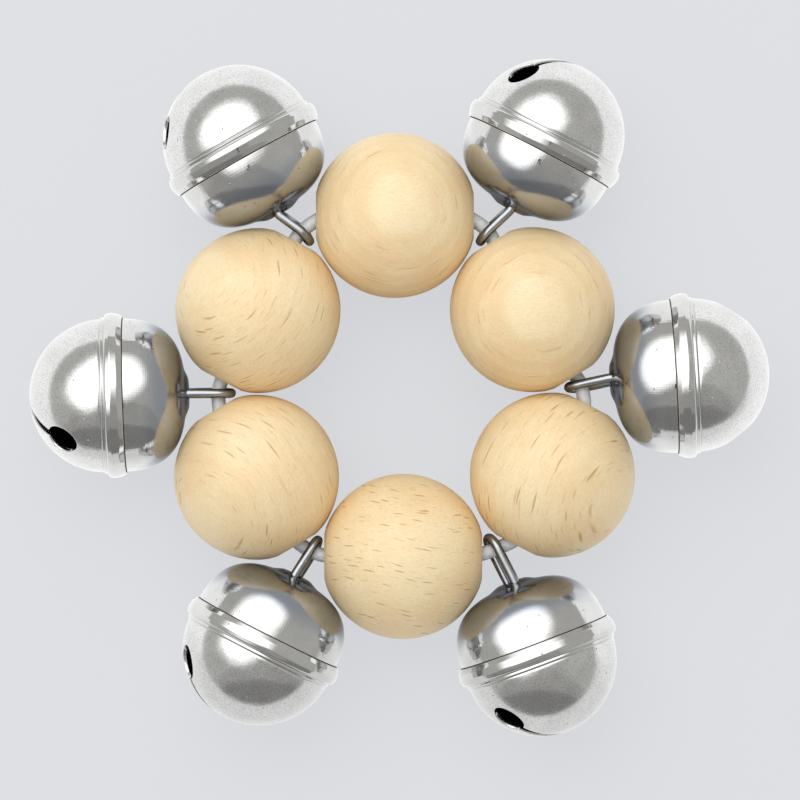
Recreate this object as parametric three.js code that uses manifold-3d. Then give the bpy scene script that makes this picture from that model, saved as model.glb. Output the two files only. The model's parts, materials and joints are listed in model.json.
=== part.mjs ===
// Bell bracelet: six bored wooden beads on an elastic cord, with a round jingle bell
// hung on the cord between each pair of beads. Millimetres, +Z up. The ring lies flat,
// and the origin is on the table under the middle of the whole bracelet.

import * as THREE from 'three';
import { mergeVertices } from 'three/addons/utils/BufferGeometryUtils.js';
import Module from 'manifold-3d';

// Beads and bells are equally wide, so they lie on the table together
const WIDTH = 20;

// Wooden beads, balls that are faced flat where the bore comes out
const BEAD_FLAT_DIAMETER = 5.93;
const BORE_DIAMETER = 4;
const BORE_CHAMFER = 0.3;
const BEAD_GAP = 0.2;
const KNOT_SPREAD = 0.4;

// Elastic cord
const CORD_DIAMETER = 1.7;
const CORD_BEND_START = 2;
const KNOT_DIAMETER = 2.3;
const KNOT_LENGTH = 1.2;

// Wire loops
const WIRE_DIAMETER = 1.15;
const LOOP_CLEARANCE = 0.12;
const LOOP_BEAD_CLEARANCE = 0.22;
const LOOP_TAIL_LENGTH = 1.6;
const LOOP_TAIL_DROP = 0.55;
const LEG_HOLE_CLEARANCE = 0.12;

// Bell shells, stamped from sheet. Heights are measured from the middle of the belt.
const SHEET = 0.5;
const BELT_OVERHANG = 0.7;
const LOOP_DOME_HEIGHT = 8.75;
const LOOP_DOME_FULLNESS = 2.8;
const SLIT_DOME_OFFSET = 0.88;
const BOSS_RADIUS = 2.9;
const BOSS_HEIGHT = 0.45;
const BELT_TOP = 1.35;
const BELT_BOTTOM = -1;
const BELT_ROUNDING = 0.4;
const GROOVE_DEPTH = 0.25;
const FLANGE_WIDTH = 0.32;
const FLANGE_THICKNESS = 0.45;
const ROLL_CLEARANCE = 0.12;

// Slit and its end holes
const SLIT_WIDTH = 1;
const SLIT_HOLE_DIAMETER = 4.2;
const SLIT_HOLE_ANGLE = 55;

// Pellets
const PELLET_DIAMETER = 5;
const PELLET_CLEARANCE = 0.2;

// How far a bell swings on the cord before it meets a bead, and the gap it then keeps
const SWING_LIMIT = 20;
const SWING_GAP = 0.1;

// The way the bracelet was laid down. Each link goes from one bead to the next, clockwise
// from the upper left, and heading is its direction in degrees from +X. The last two
// headings follow, because the ring closes. On each link hangs a bell: aside is its shift
// along the link, yaw its turn in the plane of the ring, loopRoll and slitRoll the turns
// of its wire loop and of its slit about the bell's own axis.
const LINKS = [
  { heading: 34.8, aside: -0.35, yaw: -5.6, loopRoll: 4, slitRoll: -15 },
  { heading: -34.4, aside: -0.17, yaw: 7.1, loopRoll: -3, slitRoll: -35 },
  { heading: -83.1, aside: 0.07, yaw: -3.5, loopRoll: 9, slitRoll: 0 },
  { heading: -151.4, aside: 1.6, yaw: -8.2, loopRoll: 16, slitRoll: 36, knot: true },
  { aside: -0.05, yaw: 1.3, loopRoll: -8, slitRoll: 21 },
  { aside: -0.33, yaw: 2.2, loopRoll: 2, slitRoll: -47 },
];

// Fineness of the round shapes
const SHELL_SIDES = 20;
const BEAD_SIDES = 20;
const CORD_SIDES = 8;
const WIRE_SIDES = 8;
const HOLE_SIDES = 12;
const PELLET_SIDES = 8;
const DOME_STEPS = 4;
const INNER_DOME_STEPS = 3;
const BEAD_ARC_STEPS = 7;
const CORD_BEND_STEPS = 3;
const LOOP_BEND_STEPS = 6;
const LEG_BEND_STEPS = 2;
const OUTLINE_STEPS = 24;

// How near two points are to be one, and how far a bell moves out in one try as it is laid
const WELD_DISTANCE = 1e-4;
const LAYING_STEP = 0.05;

const UP = new THREE.Vector3(0, 0, 1);
const radians = THREE.MathUtils.degToRad;
const beadRadius = WIDTH / 2;
const beadLength = 2 * Math.sqrt(beadRadius ** 2 - (BEAD_FLAT_DIAMETER / 2) ** 2);
const boreRadius = BORE_DIAMETER / 2;
const cordRadius = CORD_DIAMETER / 2;
const wireRadius = WIRE_DIAMETER / 2;
const beltRadius = WIDTH / 2;
const shellRadius = beltRadius - BELT_OVERHANG;
const pelletRadius = PELLET_DIAMETER / 2;
const loopBendRadius = cordRadius + LOOP_CLEARANCE + wireRadius;
const slitDomeCentre = -SLIT_DOME_OFFSET;
const axisHeight = WIDTH / 2;

const finishes = {
  cord: { color: 0xb9bcc0, roughness: 0.4, metalness: 0 },
  wood: { color: 0xe8cd9b, roughness: 0.6, metalness: 0 },
  bell: { color: 0xc9cacb, roughness: 0.12, metalness: 1 },
  wire: { color: 0xb4b5b7, roughness: 0.18, metalness: 1 },
  pellet: { color: 0x8d8f92, roughness: 0.35, metalness: 1 },
};

const wasm = await Module();
wasm.setup();

// Closed meshes and their boolean cuts and joins

function welded(geometry) {
  const bare = geometry.clone();
  bare.deleteAttribute('normal');
  bare.deleteAttribute('uv');
  return mergeVertices(bare, WELD_DISTANCE);
}

function toSolid(geometry) {
  const merged = welded(geometry);
  return new wasm.Manifold(new wasm.Mesh({
    numProp: 3,
    vertProperties: new Float32Array(merged.attributes.position.array),
    triVerts: new Uint32Array(merged.index.array),
  }));
}

function toGeometry(solid) {
  const mesh = solid.getMesh();
  const geometry = new THREE.BufferGeometry();
  geometry.setAttribute('position', new THREE.BufferAttribute(mesh.vertProperties, 3));
  geometry.setIndex(new THREE.BufferAttribute(mesh.triVerts, 1));
  geometry.computeVertexNormals();
  return geometry;
}

function cut(geometry, cutters) {
  let solid = toSolid(geometry);
  for (const cutter of cutters) {
    solid = solid.subtract(toSolid(cutter));
  }
  return toGeometry(solid);
}

function join(geometry, additions) {
  let solid = toSolid(geometry);
  for (const addition of additions) {
    solid = solid.add(toSolid(addition));
  }
  return toGeometry(solid);
}

// A turned shape about +Z from points [radius, height], listed upwards on the outside
function turned(profile, sides) {
  const points = profile.map(([radius, height]) => new THREE.Vector2(radius, height));
  return new THREE.LatheGeometry(points, sides).rotateX(Math.PI / 2);
}

function namedMesh(name, geometry, finish) {
  const mesh = new THREE.Mesh(geometry, new THREE.MeshStandardMaterial(finish));
  mesh.name = name;
  return mesh;
}

// A route through chosen stations. Each station is one ring of the tube, so bends can
// have close stations and straight runs none.
class StationRoute extends THREE.Curve {
  constructor(stations, closed = false) {
    super();
    this.stations = stations;
    this.closed = closed;
    this.steps = closed ? stations.length : stations.length - 1;
  }

  getUtoTmapping(u) {
    return u;
  }

  getPoint(t, target = new THREE.Vector3()) {
    const place = this.closed ? (t - Math.floor(t)) * this.steps : t * this.steps;
    const index = Math.min(Math.floor(place), this.steps - 1);
    const next = this.stations[(index + 1) % this.stations.length];
    return target.lerpVectors(this.stations[index], next, place - index);
  }

  getTangent(t, target = new THREE.Vector3()) {
    const half = 0.5 / this.steps;
    const before = this.getPoint(this.closed ? t - half : Math.max(t - half, 0));
    const after = this.getPoint(this.closed ? t + half : Math.min(t + half, 1));
    return target.subVectors(after, before).normalize();
  }
}

// The ring of beads

const inPlane = (degrees) => new THREE.Vector3(1, 0, 0).applyAxisAngle(UP, radians(degrees));
const headingOf = (vector) => THREE.MathUtils.radToDeg(Math.atan2(vector.y, vector.x));

function linkLength(link) {
  return WIDTH + BEAD_GAP + (link.knot ? KNOT_SPREAD : 0);
}

// The place of the bead that is one link away from both the last bead and the first,
// on the side away from the middle of the ring
function closingPlace(from, to, fromLength, toLength) {
  const span = new THREE.Vector3().subVectors(to, from);
  const distance = span.length();
  const along = (distance ** 2 + fromLength ** 2 - toLength ** 2) / (2 * distance);
  const aside = Math.sqrt(fromLength ** 2 - along ** 2);
  const outward = span.clone().cross(UP).normalize().multiplyScalar(-1);
  return from.clone().addScaledVector(span.normalize(), along).addScaledVector(outward, aside);
}

function layBeads() {
  const places = [new THREE.Vector3(0, 0, axisHeight)];
  for (const link of LINKS.slice(0, -2)) {
    const step = inPlane(link.heading).multiplyScalar(linkLength(link));
    places.push(places.at(-1).clone().add(step));
  }
  const [fifthLength, lastLength] = LINKS.slice(-2).map(linkLength);
  places.push(closingPlace(places.at(-1), places[0], fifthLength, lastLength));
  return places;
}

const beadPlaces = layBeads();
const linkVectors = beadPlaces.map((place, index) => {
  return new THREE.Vector3().subVectors(beadPlaces[(index + 1) % beadPlaces.length], place);
});

// A bead's bore points half way between the link before it and the link after it
const boreAxes = linkVectors.map((link, index) => {
  const before = linkVectors.at(index - 1).clone().normalize();
  return before.add(link.clone().normalize()).normalize();
});

// The cord's place and direction between two beads: as far in as the wire loop on it can
// go before its inner end meets the drilled faces of both beads
const junctions = linkVectors.map((link, index) => {
  const next = (index + 1) % linkVectors.length;
  const along = link.clone().normalize();
  const outward = UP.clone().cross(along).normalize();
  const halfLink = link.length() / 2;
  const firstTurn = boreAxes[index].angleTo(along);
  const secondTurn = boreAxes[next].angleTo(along);
  const reach = beadLength / 2 + wireRadius + LOOP_BEAD_CLEARANCE;
  const spread = reach / Math.cos(firstTurn) + reach / Math.cos(secondTurn) - 2 * halfLink;
  const innerEnd = spread / (Math.tan(firstTurn) + Math.tan(secondTurn));
  const shift = reach / Math.cos(firstTurn) - innerEnd * Math.tan(firstTurn) - halfLink;
  const middle = beadPlaces[index].clone().addScaledVector(link, 0.5);
  const place = middle.clone().addScaledVector(along, shift)
    .addScaledVector(outward, innerEnd + loopBendRadius);
  const straight = beadLength / 2 - CORD_BEND_START;
  const direction = link.clone().addScaledVector(boreAxes[index], -straight)
    .addScaledVector(boreAxes[next], -straight).normalize();
  return { place, direction, middle, along, outward, before: index, after: next };
});

// Elastic cord

// From the straight run in one bead, through the wire loop, to the run in the next bead
function cordStations() {
  const stations = [];
  const straight = beadLength / 2 - CORD_BEND_START;
  for (const { place, direction, before, after } of junctions) {
    const start = beadPlaces[before].clone().addScaledVector(boreAxes[before], straight);
    const end = beadPlaces[after].clone().addScaledVector(boreAxes[after], -straight);
    const entering = bend(start, boreAxes[before], place, direction);
    const leaving = bend(place, direction, end, boreAxes[after]);
    stations.push(...entering.getPoints(CORD_BEND_STEPS));
    stations.push(...leaving.getPoints(CORD_BEND_STEPS).slice(1));
  }
  return stations;
}

// An even bend from one place and direction to another
function bend(from, fromDirection, to, toDirection) {
  const handle = from.distanceTo(to) / 3;
  const fromHandle = from.clone().addScaledVector(fromDirection, handle);
  const toHandle = to.clone().addScaledVector(toDirection, -handle);
  return new THREE.CubicBezierCurve3(from, fromHandle, toHandle, to);
}

function elasticCord() {
  const route = new StationRoute(cordStations(), true);
  const ring = new THREE.TubeGeometry(route, route.steps, cordRadius, CORD_SIDES, true);
  const knotted = junctions[LINKS.findIndex((link) => link.knot)];
  const offset = wireRadius + LOOP_CLEARANCE + KNOT_LENGTH / 2;
  const lumps = [-offset, offset].map((distance) => {
    const lump = new THREE.SphereGeometry(KNOT_DIAMETER / 2, CORD_SIDES, CORD_SIDES / 2);
    const place = knotted.place.clone().addScaledVector(knotted.direction, distance);
    return lump.rotateZ(-Math.PI / 2)
      .scale(KNOT_LENGTH / KNOT_DIAMETER, 1, 1)
      .rotateZ(radians(headingOf(knotted.direction)))
      .translate(place.x, place.y, place.z);
  });
  return namedMesh('elastic_cord', join(ring, lumps), finishes.cord);
}

// Wooden beads

function beadGeometry() {
  const halfLength = beadLength / 2;
  const edgeAngle = Math.asin(halfLength / beadRadius);
  const profile = [[boreRadius, -halfLength + BORE_CHAMFER], [boreRadius + BORE_CHAMFER, -halfLength]];
  for (let step = 0; step <= BEAD_ARC_STEPS; step += 1) {
    const angle = edgeAngle * (2 * step / BEAD_ARC_STEPS - 1);
    profile.push([beadRadius * Math.cos(angle), beadRadius * Math.sin(angle)]);
  }
  profile.push([boreRadius + BORE_CHAMFER, halfLength], [boreRadius, halfLength - BORE_CHAMFER]);
  profile.push(profile[0]);
  return turned(profile, BEAD_SIDES);
}

function woodBead(number) {
  const bead = namedMesh(`wood_bead_${number}`, beadGeometry(), finishes.wood);
  bead.position.copy(beadPlaces[number - 1]);
  bead.quaternion.setFromUnitVectors(UP, boreAxes[number - 1]);
  return bead;
}

// Bell shells, turned about the bell's axis with the loop side up

// A dome that is flatter on top than a ball, from its rim up to near its pole
function loopDome(radius, height, steps, poleRadius) {
  const points = [];
  for (let step = 0; step <= steps; step += 1) {
    const share = Math.cos((step / steps) * Math.PI / 2) ** (2 / LOOP_DOME_FULLNESS);
    const pointRadius = poleRadius + (radius - poleRadius) * share;
    const rise = (1 - (pointRadius / radius) ** LOOP_DOME_FULLNESS) ** (1 / LOOP_DOME_FULLNESS);
    points.push([pointRadius, height * rise]);
  }
  return points;
}

function upperProfile() {
  const wallFoot = FLANGE_THICKNESS;
  const inside = shellRadius - SHEET;
  const bossInside = BOSS_RADIUS - SHEET;
  const outer = loopDome(shellRadius, LOOP_DOME_HEIGHT, DOME_STEPS, BOSS_RADIUS);
  const inner = loopDome(inside, LOOP_DOME_HEIGHT - SHEET, INNER_DOME_STEPS, BOSS_RADIUS);
  const bossTop = LOOP_DOME_HEIGHT + BOSS_HEIGHT;
  outer[0][1] = wallFoot;
  inner[0][1] = 0;
  return [
    [inside, 0],
    [shellRadius + FLANGE_WIDTH, 0],
    [shellRadius + FLANGE_WIDTH, FLANGE_THICKNESS],
    ...outer,
    [bossInside, bossTop],
    [0, bossTop],
    [0, bossTop - SHEET],
    [bossInside, bossTop - SHEET],
    ...inner.reverse(),
  ];
}

function ballArc(radius, centre, fromAngle, steps) {
  const points = [];
  for (let step = 0; step <= steps; step += 1) {
    const angle = fromAngle * (step / steps);
    points.push([radius * Math.sin(angle), centre - radius * Math.cos(angle)]);
  }
  return points;
}

function lowerProfile() {
  const insideRadius = shellRadius - SHEET;
  const neckAngle = Math.acos((slitDomeCentre - BELT_BOTTOM + 2 * GROOVE_DEPTH) / shellRadius);
  const dome = ballArc(shellRadius, slitDomeCentre, neckAngle, DOME_STEPS);
  const inner = ballArc(insideRadius, slitDomeCentre, Math.PI / 2, INNER_DOME_STEPS).reverse();
  const lipRadius = shellRadius + ROLL_CLEARANCE;
  const channelRadius = shellRadius + FLANGE_WIDTH + ROLL_CLEARANCE;
  const seat = -ROLL_CLEARANCE;
  const lipUnder = FLANGE_THICKNESS + ROLL_CLEARANCE;
  return [
    ...dome,
    [shellRadius - GROOVE_DEPTH, BELT_BOTTOM - GROOVE_DEPTH],
    [beltRadius - BELT_ROUNDING, BELT_BOTTOM],
    [beltRadius, BELT_BOTTOM + BELT_ROUNDING],
    [beltRadius, BELT_TOP - BELT_ROUNDING],
    [beltRadius - BELT_ROUNDING, BELT_TOP],
    [lipRadius, BELT_TOP],
    [lipRadius, lipUnder],
    [channelRadius, lipUnder],
    [channelRadius, seat],
    [insideRadius, seat],
    ...inner,
  ];
}

// The outside of a bell as points [radius, height], from the belt to the loop's pole
const bellOutline = [
  [beltRadius, BELT_TOP],
  ...loopDome(shellRadius, LOOP_DOME_HEIGHT, OUTLINE_STEPS, 0),
];

function upperShell(loopSide) {
  const legHole = wireRadius + LEG_HOLE_CLEARANCE;
  const drillLength = 4 * (BOSS_HEIGHT + SHEET);
  const cutters = [-1, 1].map((side) => {
    const drill = new THREE.CylinderGeometry(legHole, legHole, drillLength, HOLE_SIDES);
    const place = loopSide.clone().multiplyScalar(side * loopBendRadius);
    return drill.rotateX(Math.PI / 2).translate(place.x, place.y, LOOP_DOME_HEIGHT);
  });
  return cut(turned(upperProfile(), SHELL_SIDES), cutters);
}

function lowerShell() {
  const angle = radians(SLIT_HOLE_ANGLE);
  const holeRadius = SLIT_HOLE_DIAMETER / 2;
  const cutterLength = 2 * shellRadius;
  const slitTop = slitDomeCentre - shellRadius * Math.cos(angle);
  const slit = new THREE.BoxGeometry(2 * shellRadius * Math.sin(angle), SLIT_WIDTH, cutterLength)
    .translate(0, 0, slitTop - cutterLength / 2);
  const holes = [-1, 1].map((side) => {
    return new THREE.CylinderGeometry(holeRadius, holeRadius, shellRadius, HOLE_SIDES)
      .rotateX(Math.PI / 2)
      .translate(0, 0, -shellRadius)
      .rotateY(-side * angle)
      .translate(0, 0, slitDomeCentre);
  });
  return cut(turned(lowerProfile(), SHELL_SIDES), [slit, ...holes]);
}

// Wire loop: round the cord, down both legs through the boss, and splayed inside.
// The eye is the cord's place and loopSide points along the loop's plane, both in the
// bell's own frame, as is inward, the way to the loop's inner end between the beads.
function wireLoop(eye, inward, loopSide) {
  const bossTop = LOOP_DOME_HEIGHT + BOSS_HEIGHT + LEG_HOLE_CLEARANCE;
  const eyeSide = loopSide.clone().addScaledVector(inward, -loopSide.dot(inward)).normalize();
  const arc = [];
  for (let step = 0; step <= LOOP_BEND_STEPS; step += 1) {
    const angle = (step / LOOP_BEND_STEPS) * Math.PI;
    arc.push(eye.clone()
      .addScaledVector(eyeSide, loopBendRadius * Math.cos(angle))
      .addScaledVector(inward, loopBendRadius * Math.sin(angle)));
  }
  const knee = LOOP_DOME_HEIGHT + BOSS_HEIGHT - SHEET - WIRE_DIAMETER;
  const leg = (side) => {
    const at = (distance, height) => {
      return new THREE.Vector3(0, 0, height).addScaledVector(loopSide, side * distance);
    };
    const tailEnd = at(loopBendRadius + LOOP_TAIL_LENGTH + wireRadius, knee - LOOP_TAIL_DROP);
    const turn = new THREE.QuadraticBezierCurve3(
      at(loopBendRadius, knee + wireRadius),
      at(loopBendRadius, knee - wireRadius / 2),
      at(loopBendRadius + WIRE_DIAMETER, knee - LOOP_TAIL_DROP / 2 - wireRadius / 2),
    );
    return [at(loopBendRadius, bossTop), ...turn.getPoints(LEG_BEND_STEPS), tailEnd];
  };
  const route = new StationRoute([...leg(1).reverse(), ...arc, ...leg(-1)]);
  const section = [];
  for (let side = 0; side < WIRE_SIDES; side += 1) {
    const angle = ((side + 0.5) / WIRE_SIDES) * 2 * Math.PI;
    section.push(new THREE.Vector2(Math.cos(angle), Math.sin(angle)).multiplyScalar(wireRadius));
  }
  return new THREE.ExtrudeGeometry(new THREE.Shape(section), {
    steps: route.steps,
    extrudePath: route,
  });
}

// Bells

const rotatedAbout = (point, centre, axis, degrees) => {
  return point.clone().sub(centre).applyAxisAngle(axis, radians(degrees)).add(centre);
};

// Whether a bell at this place clears both beads, swung either way to its limit
function bellClears(centre, axis, junction) {
  const beads = [beadPlaces[junction.before], beadPlaces[junction.after]];
  return beads.every((bead) => [-SWING_LIMIT, 0, SWING_LIMIT].every((swing) => {
    const seen = rotatedAbout(bead, junction.place, junction.direction, swing).sub(centre);
    const height = -seen.dot(axis);
    const lateral = seen.addScaledVector(axis, height).length();
    return bellOutline.every(([radius, level]) => {
      return Math.hypot(height - level, lateral - radius) >= beadRadius + SWING_GAP;
    });
  }));
}

function layBell(link, junction) {
  const axis = junction.outward.clone().applyAxisAngle(UP, radians(link.yaw));
  const centre = junction.middle.clone().addScaledVector(junction.along, link.aside);
  centre.addScaledVector(junction.outward, beltRadius);
  while (!bellClears(centre, axis, junction)) {
    centre.addScaledVector(junction.outward, LAYING_STEP);
  }
  return { centre, axis };
}

function bell(number) {
  const link = LINKS[number - 1];
  const junction = junctions[number - 1];
  const { centre, axis } = layBell(link, junction);
  const loopward = axis.clone().multiplyScalar(-1);
  const across = UP.clone().cross(loopward);
  const group = new THREE.Group();
  group.position.copy(centre);
  group.quaternion.setFromRotationMatrix(new THREE.Matrix4().makeBasis(across, UP, loopward));
  const inBellFrame = (vector) => {
    return new THREE.Vector3(vector.dot(across), vector.dot(UP), vector.dot(loopward));
  };
  const eye = inBellFrame(junction.place.clone().sub(centre));
  const inward = inBellFrame(junction.outward.clone().multiplyScalar(-1));
  const loopSide = new THREE.Vector3(0, 1, 0)
    .applyAxisAngle(UP, radians(link.loopRoll));

  const upper = namedMesh(`bell_${number}_upper_shell`, upperShell(loopSide), finishes.bell);
  const lower = namedMesh(`bell_${number}_lower_shell`, lowerShell(), finishes.bell);
  lower.rotation.z = radians(link.slitRoll);
  const loop = namedMesh(`bell_${number}_wire_loop`, wireLoop(eye, inward, loopSide), finishes.wire);
  const ball = new THREE.SphereGeometry(pelletRadius, PELLET_SIDES, PELLET_SIDES / 2);
  const pellet = namedMesh(`bell_${number}_pellet`, ball, finishes.pellet);
  const track = shellRadius - SHEET - pelletRadius - PELLET_CLEARANCE;
  pellet.position.set(0, -track, slitDomeCentre);
  group.add(upper, lower, loop, pellet);
  return group;
}

// The whole bracelet, with the origin on the table under its middle

const bracelet = new THREE.Group();
bracelet.add(elasticCord());
for (let number = 1; number <= LINKS.length; number += 1) {
  bracelet.add(woodBead(number));
  bracelet.add(bell(number));
}

bracelet.updateMatrixWorld(true);
const bounds = new THREE.Box3().setFromObject(bracelet, true);
const middle = bounds.getCenter(new THREE.Vector3());
bracelet.position.set(-middle.x, -middle.y, -bounds.min.z);
bracelet.updateMatrixWorld(true);

export default bracelet;
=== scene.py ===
# %% [markdown]
# # A bracelet of wooden beads and jingle bells
#
# Six turned wooden beads are threaded on an elastic cord. Between each pair of beads a round
# bell hangs on the cord by a bent wire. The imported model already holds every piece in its
# place. This notebook gives each piece its fine shape and its finish, and then lights it.

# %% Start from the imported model
import json
import math

import bmesh
import bpy
import numpy as np
from mathutils import Matrix, Vector

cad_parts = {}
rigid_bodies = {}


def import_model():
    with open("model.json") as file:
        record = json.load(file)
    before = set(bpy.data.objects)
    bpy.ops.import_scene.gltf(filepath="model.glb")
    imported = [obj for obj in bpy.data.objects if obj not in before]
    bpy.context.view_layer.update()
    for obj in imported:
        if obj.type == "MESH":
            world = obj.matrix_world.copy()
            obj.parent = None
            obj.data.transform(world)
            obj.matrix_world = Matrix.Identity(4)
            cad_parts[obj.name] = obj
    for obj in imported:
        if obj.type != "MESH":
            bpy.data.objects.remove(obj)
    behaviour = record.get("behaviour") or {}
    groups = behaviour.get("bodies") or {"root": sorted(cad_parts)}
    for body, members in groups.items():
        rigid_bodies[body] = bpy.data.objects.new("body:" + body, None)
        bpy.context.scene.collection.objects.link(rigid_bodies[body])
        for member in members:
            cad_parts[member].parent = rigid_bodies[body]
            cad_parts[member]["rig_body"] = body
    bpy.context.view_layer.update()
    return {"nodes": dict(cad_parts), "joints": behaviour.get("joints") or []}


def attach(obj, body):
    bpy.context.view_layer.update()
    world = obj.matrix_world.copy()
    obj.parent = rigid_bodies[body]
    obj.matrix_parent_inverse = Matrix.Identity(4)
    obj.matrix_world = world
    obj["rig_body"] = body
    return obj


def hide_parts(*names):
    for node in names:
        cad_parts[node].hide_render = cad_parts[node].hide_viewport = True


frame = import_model()

# %% [markdown]
# ## Places come from the joints
#
# Every bead spins on a joint whose axis is its own bore, and every bell has a joint on its own
# axis for the pellet inside. So the joints already say where each piece is and how it points,
# and nothing has to be measured again.

# %% Places and directions
MM = 0.001
UP = Vector((0, 0, 1))
NUMBERS = range(1, 7)
BEAD_COUNT = len(NUMBERS)
joints = {joint["name"]: joint for joint in frame["joints"]}
print("joints:", len(joints))


def next_bead(number):
    """The number of the bead after this bell. The bead before it has the bell's own number."""
    return number % BEAD_COUNT + 1


def place_and_axis(joint_name):
    """A point on a joint's axis, in metres, and the axis."""
    joint = joints[joint_name]
    return Vector(joint["pos_m"]), Vector(joint["axis"]).normalized()


def matrix_from(centre, first, second, third):
    """The matrix that stands a piece at centre with these three directions as its own axes."""
    turn = Matrix((first, second, third)).transposed()
    return Matrix.Translation(centre) @ turn.to_4x4()


def bead_matrix(number):
    """The bore is the bead's own Z, and its own X points up."""
    centre, bore = place_and_axis(f"bead_{number}_spin")
    return matrix_from(centre, UP, bore.cross(UP), bore)


def bell_matrix(number):
    """The bell's own Z points from its belt to its wire loop, and its own Y points up."""
    centre, outward = place_and_axis(f"pellet_{number}_roll")
    loopward = -outward
    return matrix_from(centre, UP.cross(loopward), UP, loopward)


# %% [markdown]
# ## Sizes, in millimetres
#
# Beads and bells are both 20 mm across, which is a stock size for such bracelets. The sheet
# metal is half a millimetre thick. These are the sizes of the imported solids, with the small
# roundings added that a stamped or a turned edge has.

# %% Sizes
BEAD_RADIUS = 10.0
BEAD_HALF_LENGTH = 9.55
BEAD_EDGE_ROUNDING = 0.8
BORE_RADIUS = 2.0
BORE_EDGE_ROUNDING = 0.3

CORD_RADIUS = 0.85
CORD_BEND_START = 2.0
KNOT_RADIUS = 1.15
KNOT_LENGTH = 1.2

WIRE_RADIUS = 0.575
LOOP_CLEARANCE = 0.12
LOOP_RADIUS = CORD_RADIUS + LOOP_CLEARANCE + WIRE_RADIUS
LEG_HOLE_CLEARANCE = 0.12
TAIL_LENGTH = 1.6
TAIL_DROP = 0.55

SHEET = 0.5
SHELL_RADIUS = 9.3
LOOP_DOME_HEIGHT = 8.75
LOOP_DOME_FULLNESS = 2.8
SLIT_DOME_CENTRE = -0.88
BOSS_RADIUS = 2.9
BOSS_HEIGHT = 0.45
BELT_RADIUS = 10.0
BELT_TOP = 1.35
ROLL_CLEARANCE = 0.12

SLIT_HALF_WIDTH = 0.5
SLIT_HOLE_RADIUS = 2.1
SLIT_HOLE_ANGLE = math.radians(55)
SLIT_CORNER_ROUNDING = 0.16
CUT_EDGE_ROUNDING = 0.1

PELLET_RADIUS = 2.5
PELLET_CLEARANCE = 0.2

# How each bell was turned about its own axis when it was laid down, in degrees
LOOP_ROLLS = (4, -3, 9, 16, -8, 2)
SLIT_ROLLS = (-15, -35, 0, 36, 21, -47)

# %% [markdown]
# ## Sockets that do sums
#
# Both the shapes and the finishes are node trees. A tree reads best when its maths looks like
# maths, so one small class wraps a socket and turns each sign into a Math node. Any other node
# comes from one method, `node`, which sets the node's settings first and its sockets after.

# %% A socket that does sums
def sign(operation, swapped=False):
    """A method that adds a Math node for one sign, with its two sides swapped or not."""
    def method(self, other):
        sides = (other, self) if swapped else (self, other)
        return self.graph.math(operation, *sides)

    return method


class Value:
    """An output socket that can be added, multiplied and so on."""

    def __init__(self, graph, socket):
        self.graph = graph
        self.socket = socket

    __add__ = __radd__ = sign("ADD")
    __sub__, __rsub__ = sign("SUBTRACT"), sign("SUBTRACT", swapped=True)
    __mul__ = __rmul__ = sign("MULTIPLY")
    __truediv__ = sign("DIVIDE")
    __pow__ = sign("POWER")


# %% A tree that is being built
class Graph:
    """A node tree that is being built."""

    def __init__(self, tree):
        self.tree = tree

    def node(self, kind, settings=None, sockets=None, output=0):
        made = self.tree.nodes.new(kind)
        for name, value in (settings or {}).items():
            setattr(made, name, value)
        for key, value in (sockets or {}).items():
            if isinstance(value, Value):
                self.tree.links.new(value.socket, made.inputs[key])
            else:
                made.inputs[key].default_value = value
        return Value(self, made.outputs[output])

    def math(self, operation, *values):
        return self.node("ShaderNodeMath", {"operation": operation}, dict(enumerate(values)))

    def vector_math(self, operation, *values):
        return self.node("ShaderNodeVectorMath", {"operation": operation}, dict(enumerate(values)))

    def parts(self, vector):
        """The three numbers of a vector."""
        split = self.node("ShaderNodeSeparateXYZ", None, {0: vector}).socket.node
        return [Value(self, socket) for socket in split.outputs]

    def other_output(self, value, name):
        """Another output of the node that value comes from."""
        return Value(self, value.socket.node.outputs[name])

    def step(self, value, low, high):
        """0 below low, 1 above high, and a smooth change between them."""
        sockets = {"Value": value, "From Min": low, "From Max": high}
        return self.node("ShaderNodeMapRange", {"interpolation_type": "SMOOTHSTEP"}, sockets)

    def blend(self, factor, first, second):
        """A shader between two shaders."""
        return self.node("ShaderNodeMixShader", None, {0: factor, 1: first, 2: second})

    def coordinates(self, kind="Object"):
        return self.node("ShaderNodeTexCoord", output=kind)

    def mapped(self, vector, kind, **changes):
        """A vector with its Location, Rotation or Scale changed. TEXTURE undoes what POINT does."""
        return self.node("ShaderNodeMapping", {"vector_type": kind}, {"Vector": vector, **changes})

    def mix(self, factor, first, second):
        """A colour between two colours."""
        sockets = {0: factor, 6: first, 7: second}
        return self.node("ShaderNodeMix", {"data_type": "RGBA"}, sockets, output=2)


# %% [markdown]
# A tree that makes a shape has named inputs, so that one tree serves all pieces of a kind. It
# always ends in the same way. Edges sharper than 40 degrees stay sharp, and the rest is smooth.

# %% A Geometry Nodes tree with named inputs
SHARP_EDGE = math.radians(40)


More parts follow.
